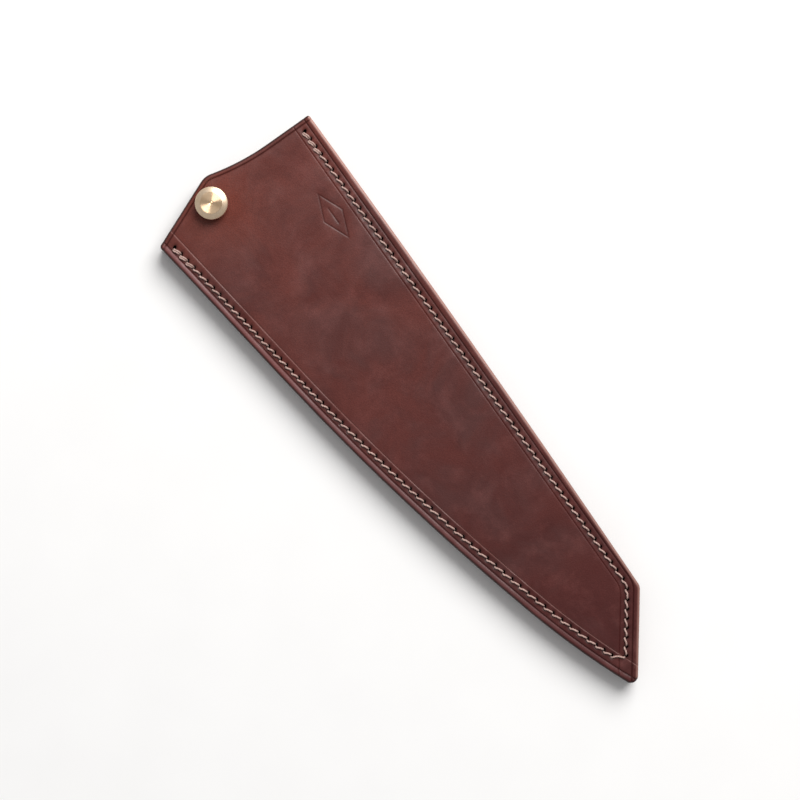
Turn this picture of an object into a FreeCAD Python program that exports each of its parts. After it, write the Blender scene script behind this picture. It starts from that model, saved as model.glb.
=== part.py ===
# Flat leather sheath for a long kitchen knife with an angled point, closed by a turned brass pin.
#
# Two leather panels are saddle-stitched over a leather welt that runs round three sides and
# leaves a flat pocket for the blade. The fourth side is the mouth. A brass pin goes through
# both panels behind the heel of the blade and pulls out to let the knife go.
#
# The sheath lies on its back with +Z out of its front face, +X from the mouth to the point and
# +Y towards the blade's spine. The outline is drawn from the corner of mouth and spine, and
# every piece is moved at the end so that the origin is under the middle of the whole.
# All sizes are in millimetres and degrees.

import FreeCAD
import Part
import math
import os

Vec = FreeCAD.Vector
up = Vec(0, 0, 1)

# Leather
panel_thickness = 3.0
welt_thickness = 4.5
welt_width = 7.8
edge_bevel = 0.7

# Outline: the spine side bows out very slightly and turns down at the tip corner.
spine_heading = 0.7
spine_bow_radius = 6700.0
spine_length = 230.7
tip_heading = -36.6
tip_corner_radius = 4.5
tip_length = 41.0

# The lines inside it, creases, stitches and welt, are laid out from a straight guide instead,
# and turn the corner more gently.
guide_length = 229.2
guide_corner_radius = 9.0

# Outline: the side of the cutting edge leaves the heel straight, then curves up to the point.
edge_heading = 7.7
edge_straight = 75.0
belly_radius = 1050.0
belly_angle = 7.3
point_radius = 345.0
point_angle = 12.0

# Outline: the mouth is square to the spine, scooped for the handle, and slants back at the tab.
mouth_straight = 20.0
scoop_radius = 100.0
scoop_angle = 14.9
tab_corner_radius = 8.0
tab_slant = 22.25
tab_length = 31.0

# Corners that the three sides make where they meet
mouth_corner_radius = 1.1
heel_corner_radius = 1.5
point_corner_radius = 3.0

# Creased lines pressed into the front panel
crease_width = 0.7
crease_depth = 0.35
outer_crease_inset = 2.7
inner_crease_inset = 7.9
mouth_crease_inset = 2.0

# Saddle stitching. The edge seam leaves the mouth nearer to the edge and drifts inwards. Each
# pair in the runs is a number of stitches and their pitch.
spine_seam_inset = 5.4
edge_seam_inset = 4.2
edge_seam_drift = 0.3
spine_first_hole = 4.6
spine_run = [(57, 3.78), (3, 4.3), (6, 3.74)]
edge_first_hole = 4.3
edge_run = [(9, 3.74), (16, 3.48), (15, 3.81), (20, 4.29), (2, 3.75)]
thread_size = 0.8
slit_length = 2.32
slit_width = 1.2
slit_slant = 27.5
leg_offset = 0.565
channel_width = 2.8
channel_depth = 0.85
thread_clearance = 0.02

# Brass retaining pin
pin_centre = Vec(6.9, -52.2, 0)
shank_radius = 3.0
pin_hole_clearance = 0.05
shank_recess = 0.5
shank_chamfer = 0.6
neck_radius = 4.0
neck_height = 1.8
neck_flare = 0.5
head_radius = 6.5
head_height = 4.1
head_bevel_width = 2.15
head_bevel_height = 1.1
head_under_chamfer = 0.4
under_head_gap = 0.02

back_face = 0.0
welt_bottom = back_face + panel_thickness
welt_top = welt_bottom + welt_thickness
front_face = welt_top + panel_thickness
far = 400.0
overrun = 15.0


def direction(heading):
    return Vec(math.cos(math.radians(heading)), math.sin(math.radians(heading)), 0)


def left_of(heading):
    return direction(heading + 90)


def trace(start, heading, steps, shift=0.0, extend=0.0):
    # Follows straight runs and tangent bends, shifted to the left by shift and lengthened at
    # both ends by extend. A step is (length,) or (radius, angle), and a left bend is positive.
    here = start + left_of(heading) * shift
    edges = []
    if extend:
        before = here - direction(heading) * extend
        edges.append(Part.LineSegment(before, here).toShape())
    for step in steps:
        if len(step) == 1:
            there = here + direction(heading) * step[0]
            edges.append(Part.LineSegment(here, there).toShape())
        else:
            radius, angle = step
            side = math.copysign(1.0, angle)
            reach = radius - side * shift
            centre = here + left_of(heading) * side * reach
            middle = centre - left_of(heading + angle / 2) * side * reach
            heading += angle
            there = centre - left_of(heading) * side * reach
            edges.append(Part.Arc(here, middle, there).toShape())
        here = there
    if extend:
        edges.append(Part.LineSegment(here, here + direction(heading) * extend).toShape())
    return Part.Wire(edges)


spine_bow_angle = math.degrees(spine_length / spine_bow_radius)
tip_angle = spine_heading - spine_bow_angle - tip_heading


def setback(radius, angle):
    # The length that a rounded corner takes off each of its two sides
    return radius * math.tan(math.radians(angle / 2))


def spine_steps():
    off = setback(tip_corner_radius, tip_angle)
    off_angle = math.degrees(off / spine_bow_radius)
    return [
        (spine_bow_radius, off_angle - spine_bow_angle),
        (tip_corner_radius, -tip_angle - off_angle),
        (tip_length - off,),
    ]


def guide_steps(inset):
    radius = guide_corner_radius + inset
    off = setback(radius, -tip_heading)
    return [(guide_length - off,), (radius, tip_heading), (tip_length - off,)]


mouth_steps = [
    (mouth_straight,),
    (scoop_radius, -scoop_angle),
    (tab_corner_radius, scoop_angle + tab_slant),
    (tab_length,),
]
edge_steps = [
    (edge_straight,),
    (belly_radius, belly_angle),
    (point_radius, point_angle),
]


def spine_line(inset, extend=0.0):
    if inset > 0:
        return trace(Vec(0, 0, 0), 0, guide_steps(inset), -inset, extend)
    return trace(Vec(0, 0, 0), spine_heading, spine_steps(), 0.0, extend)


def mouth_line(inset, extend=0.0):
    return trace(Vec(0, 0, 0), -90, mouth_steps, inset, extend)


heel_corner = mouth_line(0).OrderedVertexes[-1].Point


def edge_line(inset, extend=0.0):
    return trace(heel_corner, edge_heading, edge_steps, inset, extend)


def spine_seam_line():
    return spine_line(spine_seam_inset)


def edge_seam_line():
    return trace(heel_corner, edge_heading + edge_seam_drift, edge_steps, edge_seam_inset)


def region(wire, towards):
    # The flat region on one side of a line that runs right across the sheath
    first = wire.OrderedVertexes[0].Point
    last = wire.OrderedVertexes[-1].Point
    back_round = Part.makePolygon([last, last + towards, first + towards, first])
    return Part.Face(Part.Wire(wire.OrderedEdges + back_round.OrderedEdges))


def between_sides(spine_inset, edge_inset, mouth_inset):
    below_spine = region(spine_line(spine_inset, overrun + abs(mouth_inset)), Vec(0, -far, 0))
    above_edge = region(edge_line(edge_inset, overrun + abs(mouth_inset)), Vec(0, far, 0))
    inside_mouth = region(mouth_line(mouth_inset, overrun), Vec(far, 0, 0))
    return below_spine.common(above_edge).common(inside_mouth)


def upright_edges_at(solid, corner):
    found = []
    for edge in solid.Edges:
        ends = [v.Point for v in edge.Vertexes]
        if len(ends) == 2 and all(math.hypot(p.x - corner.x, p.y - corner.y) < 0.01 for p in ends):
            found.append(edge)
    return found


def leather_blank(bottom, thickness):
    face = between_sides(0, 0, 0)
    point_corner = max((v.Point for v in face.Vertexes), key=lambda p: p.x)
    solid = face.extrude(up * thickness).translated(up * bottom)
    for corner, radius in (
        (Vec(0, 0, 0), mouth_corner_radius),
        (heel_corner, heel_corner_radius),
        (point_corner, point_corner_radius),
    ):
        solid = solid.makeFillet(radius, upright_edges_at(solid, corner))
    return solid


def bevel_rim(solid, level):
    rim = [e for e in solid.Edges if abs(e.BoundBox.ZMin - level) + abs(e.BoundBox.ZMax - level) < 1e-4]
    return solid.makeChamfer(edge_bevel, rim)


def crease_cutter(wire, level):
    # A shallow V pressed into the leather along a line
    start = wire.OrderedVertexes[0].Point
    heading = wire.OrderedEdges[0].tangentAt(wire.OrderedEdges[0].FirstParameter)
    across = up.cross(heading) * (crease_width / 2)
    rise = up * crease_depth
    corners = [start - across, start - rise, start + across, start + rise]
    profile = Part.makePolygon(corners + corners[:1])
    return wire.makePipeShell([profile], True, False).translated(up * level)


def channel_cutter(wire):
    # A flat-bottomed groove in the back along a seam, so that the stitches don't stand out of it
    start = wire.OrderedVertexes[0].Point
    heading = wire.OrderedEdges[0].tangentAt(wire.OrderedEdges[0].FirstParameter)
    across = up.cross(heading) * (channel_width / 2)
    low, high = up * (back_face - 1), up * (back_face + channel_depth)
    corners = [start - across + low, start + across + low, start + across + high, start - across + high]
    profile = Part.makePolygon(corners + corners[:1])
    return wire.makePipeShell([profile], True, False)


class Hole:
    # One awl slit: where it is, and which way its seam runs there
    def __init__(self, point, along):
        self.point = point
        self.along = along
        self.left = up.cross(along)

    def slit(self):
        long_way = math.degrees(math.atan2(self.left.y, self.left.x)) + slit_slant
        box = Part.makeBox(slit_length, slit_width, front_face + 2, Vec(-slit_length / 2, -slit_width / 2, -1))
        box.rotate(Vec(0, 0, 0), up, long_way)
        return box.translated(self.point)

    def leg(self, side, level):
        slant = math.radians(slit_slant)
        offset = self.left * math.cos(slant) - self.along * math.sin(slant)
        return self.point + offset * (side * leg_offset) + up * level


def stitch_run(line, first_hole, stretches):
    # Holes along a line, from a first distance along it
    distances = [first_hole]
    for count, pitch in stretches:
        for _ in range(count):
            distances.append(distances[-1] + pitch)
    path = line.discretize(Number=int(line.Length * 50))
    step = line.Length / (len(path) - 1)
    holes = []
    for distance in distances:
        at = distance / step
        k = min(int(at), len(path) - 2)
        ahead = path[k + 1] - path[k]
        holes.append(Hole(path[k] + ahead * (at - k), Vec(ahead).normalize()))
    return holes


def seams():
    # Both seams start at the mouth. The spine's seam stops just short of crossing the other,
    # which then ends with one long stitch into the same last hole.
    spine_holes = stitch_run(spine_seam_line(), spine_first_hole, spine_run)
    edge_holes = stitch_run(edge_seam_line(), edge_first_hole, edge_run)
    return spine_holes, edge_holes


def thread_route(holes, shared=None):
    # One thread, worked from its middle with both ends. Every gap between two holes gets one
    # stitch on each face: an end that crosses a gap on the front crosses the next on the back.
    front = front_face + thread_clearance + thread_size / 2
    back = channel_depth - thread_clearance - thread_size / 2

    def worked_end(in_front):
        points = []
        for here, there in zip(holes, holes[1:]):
            if in_front:
                points += [here.leg(-1, front), there.leg(1, front)]
            else:
                points += [here.leg(1, back), there.leg(-1, back)]
            in_front = not in_front
        if in_front and shared:
            points += [holes[-1].leg(-1, front), shared.leg(-1, front)]
        return points

    return worked_end(False)[::-1] + worked_end(True)


def thread_solid(points):
    # Stitches join the points two by two, and legs through the leather join the stitches. The
    # thread has three sides, with one flat.
    half = thread_size / 2
    rings = []
    for k, point in enumerate(points):
        stitch = points[k + 1] - point if k % 2 == 0 else point - points[k - 1]
        along = Vec(stitch).normalize()
        side = up.cross(along)
        neighbour = points[k - 1] if k % 2 == 0 else points[(k + 1) % len(points)]
        at_end = k in (0, len(points) - 1)
        leg_up = 0.0 if at_end else math.copysign(1.0, neighbour.z - point.z)
        # At a bend the ring stands at 45 degrees, so that stitch and leg have one width.
        lean = leg_up if k % 2 == 0 else -leg_up
        ring = []
        for across, rise in ((0, 1), (-1, -1), (1, -1)):
            ring.append(point + side * (across * half) + up * (rise * half) + along * (lean * rise * half))
        rings.append(ring)
    faces = [Part.Face(Part.makePolygon(ring + ring[:1])) for ring in (rings[0], rings[-1])]
    for k in range(len(rings) - 1):
        for i in range(3):
            a, b = rings[k][i], rings[k][(i + 1) % 3]
            c, d = rings[k + 1][(i + 1) % 3], rings[k + 1][i]
            if k % 2 == 0:
                faces.append(Part.Face(Part.makePolygon([a, b, c, d, a])))
            else:
                faces.append(Part.Face(Part.makePolygon([a, b, c, a])))
                faces.append(Part.Face(Part.makePolygon([a, c, d, a])))
    shell = Part.makeShell(faces)
    shell.sewShape()
    solid = Part.makeSolid(shell)
    if solid.Volume < 0:
        solid.reverse()
    return solid


def pin_hole():
    radius = shank_radius + pin_hole_clearance
    return Part.makeCylinder(radius, front_face + 2, pin_centre - up)


def front_panel(slits):
    panel = bevel_rim(leather_blank(welt_top, panel_thickness), front_face)
    creases = [
        spine_line(outer_crease_inset, overrun),
        spine_line(inner_crease_inset, overrun),
        edge_line(outer_crease_inset, overrun),
        edge_line(inner_crease_inset, overrun),
        mouth_line(mouth_crease_inset, overrun),
    ]
    for line in creases:
        panel = panel.cut(crease_cutter(line, front_face))
    return panel.cut([pin_hole(), *slits])


def back_panel(slits):
    panel = bevel_rim(leather_blank(back_face, panel_thickness), back_face)
    for line in (spine_seam_line(), edge_seam_line()):
        panel = panel.cut(channel_cutter(line))
    return panel.cut([pin_hole(), *slits])


def welts(slits):
    # The welt follows the three stitched sides. The strip along the cutting edge runs to the
    # point, and the other two butt against it and against each other at the tip corner.
    frame = leather_blank(welt_bottom, welt_thickness)
    pocket = between_sides(welt_width, welt_width, -overrun).extrude(up * far).translated(up * -1)
    frame = frame.cut(pocket).cut(slits)
    inside_edge = region(edge_line(welt_width, overrun * 2), Vec(0, far, 0)).extrude(up * far)
    to_corner = trace(Vec(0, 0, 0), spine_heading, [(spine_bow_radius, -spine_bow_angle)])
    mitre = Part.makeBox(far, far, far, Vec(0, -far / 2, 0))
    mitre.rotate(Vec(0, 0, 0), up, tip_heading + tip_angle / 2)
    mitre.translate(to_corner.OrderedVertexes[-1].Point)
    rest = frame.common(inside_edge)
    return frame.cut(inside_edge), rest.cut(mitre), rest.common(mitre)


def retaining_pin():
    # Turned from one bar: a bevelled head on a narrower neck, and a plain shank
    neck_foot = front_face + under_head_gap
    head_foot = neck_foot + neck_height
    head_top = head_foot + head_height
    shank_end = back_face + shank_recess
    bevel_radius = head_radius - head_bevel_width
    outline = [
        (0, shank_end),
        (shank_radius - shank_chamfer, shank_end),
        (shank_radius, shank_end + shank_chamfer),
        (shank_radius, neck_foot),
        (neck_radius, neck_foot),
        (neck_radius, head_foot - neck_flare),
        (neck_radius + neck_flare, head_foot),
        (head_radius - head_under_chamfer, head_foot),
        (head_radius, head_foot + head_under_chamfer),
        (head_radius, head_top - head_bevel_height),
        (bevel_radius, head_top),
        (0, head_top),
    ]
    points = [Vec(radius, 0, level) for radius, level in outline]
    profile = Part.Face(Part.makePolygon(points + points[:1]))
    return profile.revolve(Vec(0, 0, 0), up, 360).translated(pin_centre)


def main():
    spine_holes, edge_holes = seams()
    slits = [hole.slit() for hole in spine_holes + edge_holes]
    edge_welt, spine_welt, tip_welt = welts(slits)
    pieces = {
        "front_panel": front_panel(slits),
        "back_panel": back_panel(slits),
        "edge_welt": edge_welt,
        "spine_welt": spine_welt,
        "tip_welt": tip_welt,
        "spine_seam_thread": thread_solid(thread_route(spine_holes)),
        "edge_seam_thread": thread_solid(thread_route(edge_holes, spine_holes[-1])),
        "retaining_pin": retaining_pin(),
    }
    bounds = pieces["front_panel"].optimalBoundingBox()
    centre = Vec(bounds.Center.x, bounds.Center.y, 0)
    os.makedirs("parts", exist_ok=True)
    for name, shape in pieces.items():
        placed = shape.translated(centre * -1)
        placed.exportStep(f"parts/{name}.step")
        print(name, placed.ShapeType, len(placed.Solids), placed.isValid(), round(placed.Volume, 1))
    print("stitches", len(spine_holes) - 1, len(edge_holes) - 1, "centre", centre)


main()
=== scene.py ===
import math

import bpy
import numpy as np
from mathutils.geometry import delaunay_2d_cdt
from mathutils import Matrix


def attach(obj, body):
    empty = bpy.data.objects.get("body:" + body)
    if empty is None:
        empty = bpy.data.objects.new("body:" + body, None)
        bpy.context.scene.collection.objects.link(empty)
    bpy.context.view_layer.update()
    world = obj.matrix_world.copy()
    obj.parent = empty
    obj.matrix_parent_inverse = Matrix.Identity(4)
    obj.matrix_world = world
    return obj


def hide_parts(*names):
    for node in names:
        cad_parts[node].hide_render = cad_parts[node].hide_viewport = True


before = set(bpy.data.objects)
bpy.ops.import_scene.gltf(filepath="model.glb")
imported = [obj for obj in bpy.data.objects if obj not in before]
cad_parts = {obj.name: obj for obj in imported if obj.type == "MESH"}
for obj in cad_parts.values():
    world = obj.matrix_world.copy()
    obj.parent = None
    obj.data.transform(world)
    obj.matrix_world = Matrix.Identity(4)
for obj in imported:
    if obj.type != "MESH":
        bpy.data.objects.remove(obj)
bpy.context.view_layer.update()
scene = bpy.context.scene
mm = 0.001
print("frame loaded")


# Camera, straight above the sheath
camera = {
    "lookAt": (-14.27, 3.04), "height": 900.0,  # mm
    "turn": 54.6,  # degrees about the view
    "lens": 100.08, "sensor": 36.0,
    "clip": (0.01, 20.0),  # metres
}


def makeCamera():
    data = bpy.data.cameras.new("cameraAbove")
    data.lens = camera["lens"]
    data.sensor_width = camera["sensor"]
    data.clip_start, data.clip_end = camera["clip"]
    obj = bpy.data.objects.new("cameraAbove", data)
    obj.location = (camera["lookAt"][0] * mm, camera["lookAt"][1] * mm, camera["height"] * mm)
    obj.rotation_euler = (0.0, 0.0, math.radians(camera["turn"]))
    scene.collection.objects.link(obj)
    scene.camera = obj


makeCamera()
print("camera in place")


# Outline of the leather, in mm from the corner of mouth and spine
leather = {
    "spineHeading": 0.7, "bowRadius": 6700.0, "spineLength": 230.7,
    "tipHeading": -36.6, "tipCorner": 4.5, "tipLength": 41.0,
    "guideLength": 229.2, "guideCorner": 9.0,
    "edgeHeading": 7.7, "edgeSteps": [(75.0,), (1050.0, 7.3), (345.0, 12.0)],
    "mouthSteps": [(20.0,), (100.0, -14.9), (8.0, 37.15), (31.0,)],
    "mouthCorner": 1.1, "heelCorner": 1.5, "pointCorner": 3.0,
    "back": 0.0, "pocketFloor": 3.0, "pocketRoof": 7.5, "face": 10.5,  # heights
    "rim": 1.5, "cornerRim": 0.35,  # spacing of points along an edge, and round its corners
    "bendStep": 6.0,  # most degrees between two points of a bend
    "cornerRoom": 0.3, "closest": 0.05,  # least room before a corner, and between two points
    "overshoot": 6.0,  # how far the edges run on, to be cut where they cross
}
batch = 4000  # points measured at a time
farAway = 1e9


def heading(angle):
    return np.array([math.cos(math.radians(angle)), math.sin(math.radians(angle))])


def leftOf(angle):
    return heading(angle + 90.0)


def trace(start, angle, steps, shift=0.0, spacing=leather["rim"], extend=0.0):
    # Straight runs (length,) and tangent bends (radius, angle), moved to the left by shift
    here = np.array(start, float) + shift * leftOf(angle)
    points = []
    if extend:
        points.append(here - extend * heading(angle))
    for step in steps:
        if len(step) == 1:
            count = max(1, round(step[0] / spacing))
            points += [here + heading(angle) * step[0] * i / count for i in range(count)]
            here = here + heading(angle) * step[0]
            continue
        radius, bend = step
        side = math.copysign(1.0, bend)
        reach = radius - side * shift
        centre = here + leftOf(angle) * side * reach
        fewest = max(2, round(abs(bend) / leather["bendStep"]))
        count = max(fewest, round(math.radians(abs(bend)) * reach / spacing))
        for i in range(count):
            points.append(centre - leftOf(angle + bend * i / count) * side * reach)
        angle += bend
        here = centre - leftOf(angle) * side * reach
    points.append(here)
    if extend:
        points.append(here + extend * heading(angle))
    return np.array(points)


def setback(radius, angle):
    return radius * math.tan(math.radians(angle / 2))


def spineEdge(spacing=leather["rim"], extend=0.0):
    bow = math.degrees(leather["spineLength"] / leather["bowRadius"])
    corner = leather["spineHeading"] - bow - leather["tipHeading"]
    off = setback(leather["tipCorner"], corner)
    offAngle = math.degrees(off / leather["bowRadius"])
    steps = [(leather["bowRadius"], offAngle - bow), (leather["tipCorner"], -corner - offAngle),
             (leather["tipLength"] - off + extend,)]
    return trace((0, 0), leather["spineHeading"], steps, spacing=spacing)


def guideLine(inset, spacing=leather["rim"], extend=0.0):
    # Creases, stitches and welt along the spine follow a straight guide, turned at the tip
    radius = leather["guideCorner"] + inset
    off = setback(radius, -leather["tipHeading"])
    steps = [(leather["guideLength"] - off,), (radius, leather["tipHeading"]),
             (leather["tipLength"] - off,)]
    return trace((0, 0), 0.0, steps, -inset, spacing, extend)


def mouthLine(inset, spacing=leather["rim"], extend=0.0):
    return trace((0, 0), -90.0, leather["mouthSteps"], inset, spacing, extend)


heelCorner = mouthLine(0)[-1]


def edgeLine(inset, spacing=leather["rim"], extend=0.0, drift=0.0):
    angle = leather["edgeHeading"] + drift
    return trace(heelCorner, angle, leather["edgeSteps"], inset, spacing, extend)


def crossingOf(one, other):
    # Where two polylines cross: index in each, and the point
    for i in range(len(one) - 1):
        a, b = one[i], one[i + 1] - one[i]
        c, d = other[:-1], np.diff(other, axis=0)
        det = b[0] * d[:, 1] - b[1] * d[:, 0]
        gap = c - a
        with np.errstate(divide="ignore", invalid="ignore"):
            t = (gap[:, 0] * d[:, 1] - gap[:, 1] * d[:, 0]) / det
            u = (gap[:, 0] * b[1] - gap[:, 1] * b[0]) / det
        hit = np.where((t >= 0) & (t <= 1) & (u >= 0) & (u <= 1))[0]
        if len(hit):
            return i, int(hit[0]), a + b * t[hit[0]]
    raise ValueError("lines don't cross")


def roundCorner(before, after, radius):
    # before ends at the corner where after starts. Both are cut back and joined by an arc.
    corner = before[-1]
    one = corner - before[-2]
    two = after[1] - corner
    turn = math.degrees(math.atan2(one[0] * two[1] - one[1] * two[0], one @ two))
    off = setback(radius, abs(turn))
    clear = off + leather["cornerRoom"]
    before = before[np.linalg.norm(before - corner, axis=1) > clear]
    after = after[np.linalg.norm(after - corner, axis=1) > clear]
    angle = math.degrees(math.atan2(one[1], one[0]))
    arc = trace(corner - heading(angle) * off, angle, [(radius, turn)], spacing=leather["cornerRim"])
    return before, arc, after


def outlineOf():
    past = leather["overshoot"]
    spine, mouth = spineEdge(extend=past), mouthLine(0)
    edge = np.vstack([edgeLine(0), edgeLine(0, extend=past)[-1:]])
    i, j, point = crossingOf(spine, edge)
    spine = np.vstack([spine[:i + 1], point])
    edge = np.vstack([point, edge[:j + 1][::-1]])  # from the point back to the heel
    mouth = mouth[::-1]  # from the heel up to the spine
    spine, pointArc, edge = roundCorner(spine, edge, leather["pointCorner"])
    edge, heelArc, mouth = roundCorner(edge, mouth, leather["heelCorner"])
    mouth, mouthArc, spine = roundCorner(mouth, spine, leather["mouthCorner"])
    ring = np.vstack([spine, pointArc, edge, heelArc, mouth, mouthArc])
    keep = np.linalg.norm(ring - np.roll(ring, 1, axis=0), axis=1) > leather["closest"]
    return ring[keep][::-1]  # counter-clockwise


outline = outlineOf()
middle = (outline.min(0) + outline.max(0)) / 2  # the frame's origin


def offsetRing(ring, inset):
    # A closed counter-clockwise ring, moved inwards
    ahead = np.roll(ring, -1, axis=0) - ring
    behind = ring - np.roll(ring, 1, axis=0)
    run = ahead / np.linalg.norm(ahead, axis=1)[:, None] + behind / np.linalg.norm(behind, axis=1)[:, None]
    run /= np.linalg.norm(run, axis=1)[:, None]
    return ring + inset * np.stack([-run[:, 1], run[:, 0]], 1)


def distanceTo(points, line, closed=False):
    ends = np.vstack([line, line[:1]]) if closed else line
    a, d = ends[:-1], np.diff(ends, axis=0)
    size = (d * d).sum(1) + 1e-12
    best = np.full(len(points), farAway)
    for k in range(0, len(points), batch):
        p = points[k:k + batch, None, :] - a[None]
        t = np.clip((p * d).sum(2) / size, 0, 1)
        gap = p - t[..., None] * d
        best[k:k + batch] = np.sqrt((gap * gap).sum(2).min(1))
    return best


def inside(points, ring):
    x, y = points[:, 0], points[:, 1]
    result = np.zeros(len(points), bool)
    ax, ay = ring[:, 0], ring[:, 1]
    bx, by = np.roll(ax, -1), np.roll(ay, -1)
    for k in range(0, len(points), batch):
        px, py = x[k:k + batch, None], y[k:k + batch, None]
        crosses = (ay > py) != (by > py)
        with np.errstate(divide="ignore", invalid="ignore"):
            at = (bx - ax) * (py - ay) / (by - ay) + ax
        result[k:k + batch] = ((crosses & (px < at)).sum(1) % 2) == 1
    return result


# Stitching
stitches = {
    "spineInset": 5.4, "edgeInset": 4.2, "edgeDrift": 0.3,
    # distance of the first hole, then how many stitches of what length
    "spineFirst": 4.6, "spineRun": [(57, 3.78), (3, 4.3), (6, 3.74)],
    "edgeFirst": 4.3, "edgeRun": [(9, 3.74), (16, 3.48), (15, 3.81), (20, 4.29), (2, 3.75)],
    "holeAcross": 0.98, "holeAlong": 0.7, "holeShift": 0.2,
    "holeLean": 0.22,  # the awl's slit leans a little
    "holeReach": 4.0,  # nothing further off belongs to a hole
    "lineStep": 0.25, "skip": 4,  # points of a seam line, and every how many are enough to measure from
}


def holesAlong(line, first, run):
    distances = [first]
    for count, pitch in run:
        for _ in range(count):
            distances.append(distances[-1] + pitch)
    length = np.concatenate([[0], np.cumsum(np.linalg.norm(np.diff(line, axis=0), axis=1))])
    holes = []
    for distance in distances:
        k = min(int(np.searchsorted(length, distance, side="right")) - 1, len(line) - 2)
        step = line[k + 1] - line[k]
        along = step / np.linalg.norm(step)
        holes.append((line[k] + along * (distance - length[k]), along, np.array([-along[1], along[0]])))
    return holes


spineSeam = guideLine(stitches["spineInset"], stitches["lineStep"])
edgeSeam = edgeLine(stitches["edgeInset"], stitches["lineStep"], drift=stitches["edgeDrift"])
spineHoles = holesAlong(spineSeam, stitches["spineFirst"], stitches["spineRun"])
edgeHoles = holesAlong(edgeSeam, stitches["edgeFirst"], stitches["edgeRun"])
allHoles = spineHoles + edgeHoles
holeCentres = np.array([h[0] + h[2] * stitches["holeShift"] for h in allHoles])
holeRuns = np.array([h[1] for h in allHoles])


def holeLoop(hole, scale=1.0, count=12):
    point, along, left = hole
    centre = point + left * stitches["holeShift"]
    loop = []
    for i in range(count):
        a = 2 * math.pi * (i + 0.5) / count
        across = stitches["holeAcross"] * scale * math.sin(a)
        forward = stitches["holeAlong"] * scale * math.cos(a) - stitches["holeLean"] * across
        loop.append(centre + left * across + along * forward)
    return np.array(loop)


def holeGap(points):
    # How far each point is from the nearest hole's middle, in hole sizes
    best = np.full(len(points), farAway)
    for centre, along in zip(holeCentres, holeRuns):
        near = np.abs(points - centre).max(1) < stitches["holeReach"]
        p = points[near] - centre
        across = -p[:, 0] * along[1] + p[:, 1] * along[0]
        forward = p @ along + stitches["holeLean"] * across
        gap = np.hypot(across / stitches["holeAcross"], forward / stitches["holeAlong"])
        best[near] = np.minimum(best[near], gap)
    return best


def seamDistance(points):
    seams = (spineSeam[::stitches["skip"]], edgeSeam[::stitches["skip"]])
    return np.minimum(*[distanceTo(points, seam) for seam in seams])


# Leather panels
panel = {
    "outerCrease": 2.7, "innerCrease": 7.9, "mouthCrease": 2.0,
    "creaseHalf": 0.34, "creaseDepth": 0.26,
    # soft hollows: depth and half width, of a hole in hole sizes
    "borderSink": (0.24, 0.85), "mouthSink": (0.14, 0.8), "innerSink": (0.05, 0.9),
    "seamSink": (0.32, 1.5), "holeSink": (0.3, 1.45),
    "channelHalf": 1.4, "channelDepth": 0.85, "channelSlack": 0.12, "channelWall": 0.45,
    "rimDrop": 1.0, "bevelDrop": 0.42, "bevelStart": 0.3, "bevelEnd": 1.3, "bevelCurve": 1.25,
    "pin": (6.9, -52.2), "pinHole": 3.05,
    "waves": 0.10, "waveRise": 6.0, "flatEdge": 8.0, "flatPin": 5.0,  # flat by the edge and round the pin
    "sharp": 42.0,  # degrees
}
# Where the panels' points lie
layout = {
    "rimRings": [0.0, 0.06, 0.15, 0.3, 0.52, 0.8, 1.02], "shoulder": 1.42, "shoulderSlack": 0.04,
    "wallSteps": (0.62, 0.16, 0.0),  # rings down the outer wall, as shares of its height
    "holeRings": (1.28, 1.75), "wideHoleRing": 2.5, "wideHoleSides": 10,  # in hole sizes
    "nearCrease": (-0.55, -0.3, -0.15, 0.0, 0.15, 0.3, 0.55),
    "nearChannel": (-1.65, -1.4, -1.2, -0.9, 0.9, 1.2, 1.4, 1.65),
    "rowsPast": 2.0, "fieldRow": (9.2, 1.8),  # how far rows run on, and the inset and spacing of one more
    "measured": 0.8,  # spacing along a line that is only measured from
    "grid": 2.6, "jitter": 0.6, "seed": 11,
    "fieldInset": 10.3, "fieldFromMouth": 3.6, "fieldFromPin": 0.8,
    "mergeFace": 0.004, "mergeInside": 0.00001,  # closer points become one
}
stamp = {
    "centre": (38.8, -15.4), "long": 10.5, "short": 4.4, "bar": 3.6, "line": 0.3, "depth": 0.2,
    "rings": (0.84, 0.9, 0.95, 1.0, 1.05, 1.1, 1.16), "sidePoints": 10,
    "barRows": (-0.7, -0.35, -0.15, 0.0, 0.15, 0.35, 0.7), "barReach": 4.2, "barStep": 0.6,
}


def creaseLines():
    step, past = layout["measured"], layout["rowsPast"]
    return {
        "spineOuter": guideLine(panel["outerCrease"], step, past),
        "spineInner": guideLine(panel["innerCrease"], step, past),
        "edgeOuter": edgeLine(panel["outerCrease"], step, past),
        "edgeInner": edgeLine(panel["innerCrease"], step, past),
        "mouth": mouthLine(panel["mouthCrease"], step, past),
    }


def stampRing(scale):
    # A plain lozenge
    cx, cy = stamp["centre"]
    corners = [(stamp["long"], 0), (0, stamp["short"]), (-stamp["long"], 0), (0, -stamp["short"])]
    ring = []
    for (ax, ay), (bx, by) in zip(corners, corners[1:] + corners[:1]):
        for i in range(stamp["sidePoints"]):
            t = i / stamp["sidePoints"]
            ring.append((cx + scale * (ax + (bx - ax) * t), cy + scale * (ay + (by - ay) * t)))
    return np.array(ring)


def barRows():
    # The short bar across the lozenge
    cx, cy = stamp["centre"]
    reach, step = stamp["barReach"], stamp["barStep"]
    count = round(2 * reach / step) + 1
    return [np.array([(cx - reach + i * step, cy + row) for i in range(count)]) for row in stamp["barRows"]]


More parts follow.
